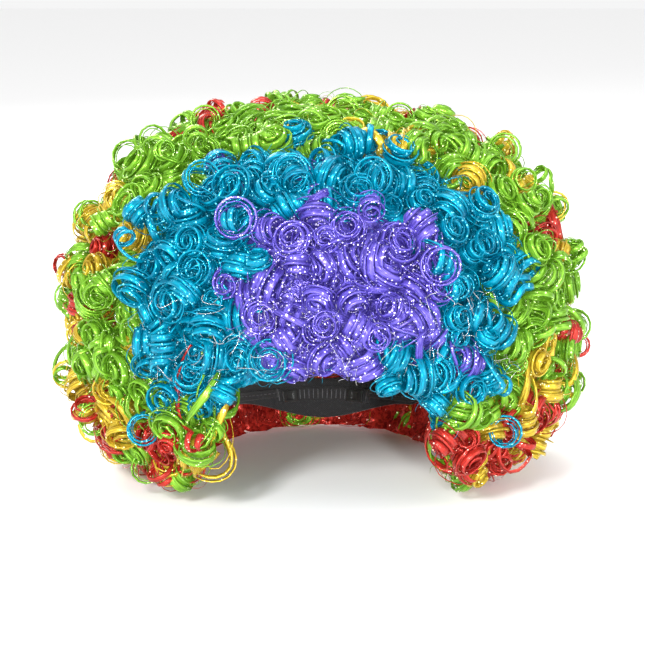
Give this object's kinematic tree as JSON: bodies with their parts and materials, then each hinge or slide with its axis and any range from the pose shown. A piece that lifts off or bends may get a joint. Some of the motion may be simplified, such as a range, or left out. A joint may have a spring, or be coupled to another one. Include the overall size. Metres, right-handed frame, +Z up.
{
  "type": "costume wig",
  "caption": "Bushy curly costume wig: a stretch net cap with sewn weft rows of glossy ringlets in coloured bands, folding ear tabs and a hooked nape adjuster.",
  "frame": {"origin": "on the surface that the wig stands on, under the middle of its outer box", "axes": "+Z up, the face opening looks along -Y, +X is the wearer's left"},
  "size_m": [0.2966, 0.2838, 0.216],
  "materials": {
    "fibre_purple": "glossy synthetic fibre with fine tinsel",
    "fibre_blue": "glossy synthetic fibre with fine tinsel",
    "fibre_green": "glossy synthetic fibre with fine tinsel",
    "fibre_yellow": "glossy synthetic fibre with fine tinsel",
    "fibre_red": "glossy synthetic fibre with fine tinsel",
    "cap_net": "matt stretch net",
    "elastic_band": "ribbed woven elastic",
    "hook_plastic": "moulded satin",
    "label_cloth": "plain woven satin"
  },
  "bodies": {
    "cap": {"adjuster_strap_left": "elastic_band", "adjuster_strap_right": "elastic_band", "blank_label": "label_cloth", "crown_net": "cap_net", "curls_01_purple": "fibre_purple", "curls_02_purple": "fibre_purple", "curls_03_blue": "fibre_blue", "curls_04_blue": "fibre_blue", "curls_05_green": "fibre_green", "curls_06_green": "fibre_green", "curls_07_green": "fibre_green", "curls_08_yellow": "fibre_yellow", "curls_09_yellow": "fibre_yellow", "curls_10_red": "fibre_red", "curls_11_red": "fibre_red", "curls_12_red": "fibre_red", "curls_13_red": "fibre_red", "curls_14_red": "fibre_red", "curls_15_red": "fibre_red", "front_band": "elastic_band", "loop_tape": "elastic_band", "nape_band": "elastic_band", "ribbon_centre": "elastic_band", "ribbon_inner_left": "elastic_band", "ribbon_inner_right": "elastic_band", "ribbon_outer_left": "elastic_band", "ribbon_outer_right": "elastic_band", "weft_tape_01_purple": "fibre_purple", "weft_tape_02_purple": "fibre_purple", "weft_tape_03_blue": "fibre_blue", "weft_tape_04_blue": "fibre_blue", "weft_tape_05_green": "fibre_green", "weft_tape_06_green": "fibre_green", "weft_tape_07_green": "fibre_green", "weft_tape_08_yellow": "fibre_yellow", "weft_tape_09_yellow": "fibre_yellow", "weft_tape_10_red": "fibre_red", "weft_tape_11_red": "fibre_red", "weft_tape_12_red": "fibre_red", "weft_tape_13_red": "fibre_red", "weft_tape_14_red": "fibre_red", "weft_tape_15_red": "fibre_red"},
    "hook_left": {"adjuster_hook_left": "hook_plastic"},
    "hook_right": {"adjuster_hook_right": "hook_plastic"},
    "ear_tab_left": {"ear_tab_left": "elastic_band", "ear_stay_left": "hook_plastic"},
    "ear_tab_right": {"ear_tab_right": "elastic_band", "ear_stay_right": "hook_plastic"}
  },
  "joints": [
    {"name": "hook_left_slide", "type": "hinge", "parent": "cap", "child": "hook_left", "pos_m": [0, 0.0343, 0.023], "axis": [0, 0, 1], "range_deg": [0, 12], "deforming": ["adjuster_strap_left"]},
    {"name": "hook_right_slide", "type": "hinge", "parent": "cap", "child": "hook_right", "pos_m": [0, 0.0343, 0.023], "axis": [0, 0, -1], "range_deg": [0, 12], "deforming": ["adjuster_strap_right"]},
    {"name": "ear_tab_left_fold", "type": "hinge", "parent": "cap", "child": "ear_tab_left", "pos_m": [0.07692, -0.00269, 0.07728], "axis": [0, 1, 0], "range_deg": [0, 65]},
    {"name": "ear_tab_right_fold", "type": "hinge", "parent": "cap", "child": "ear_tab_right", "pos_m": [-0.07692, -0.00269, 0.07728], "axis": [0, -1, 0], "range_deg": [0, 65]}
  ]
}
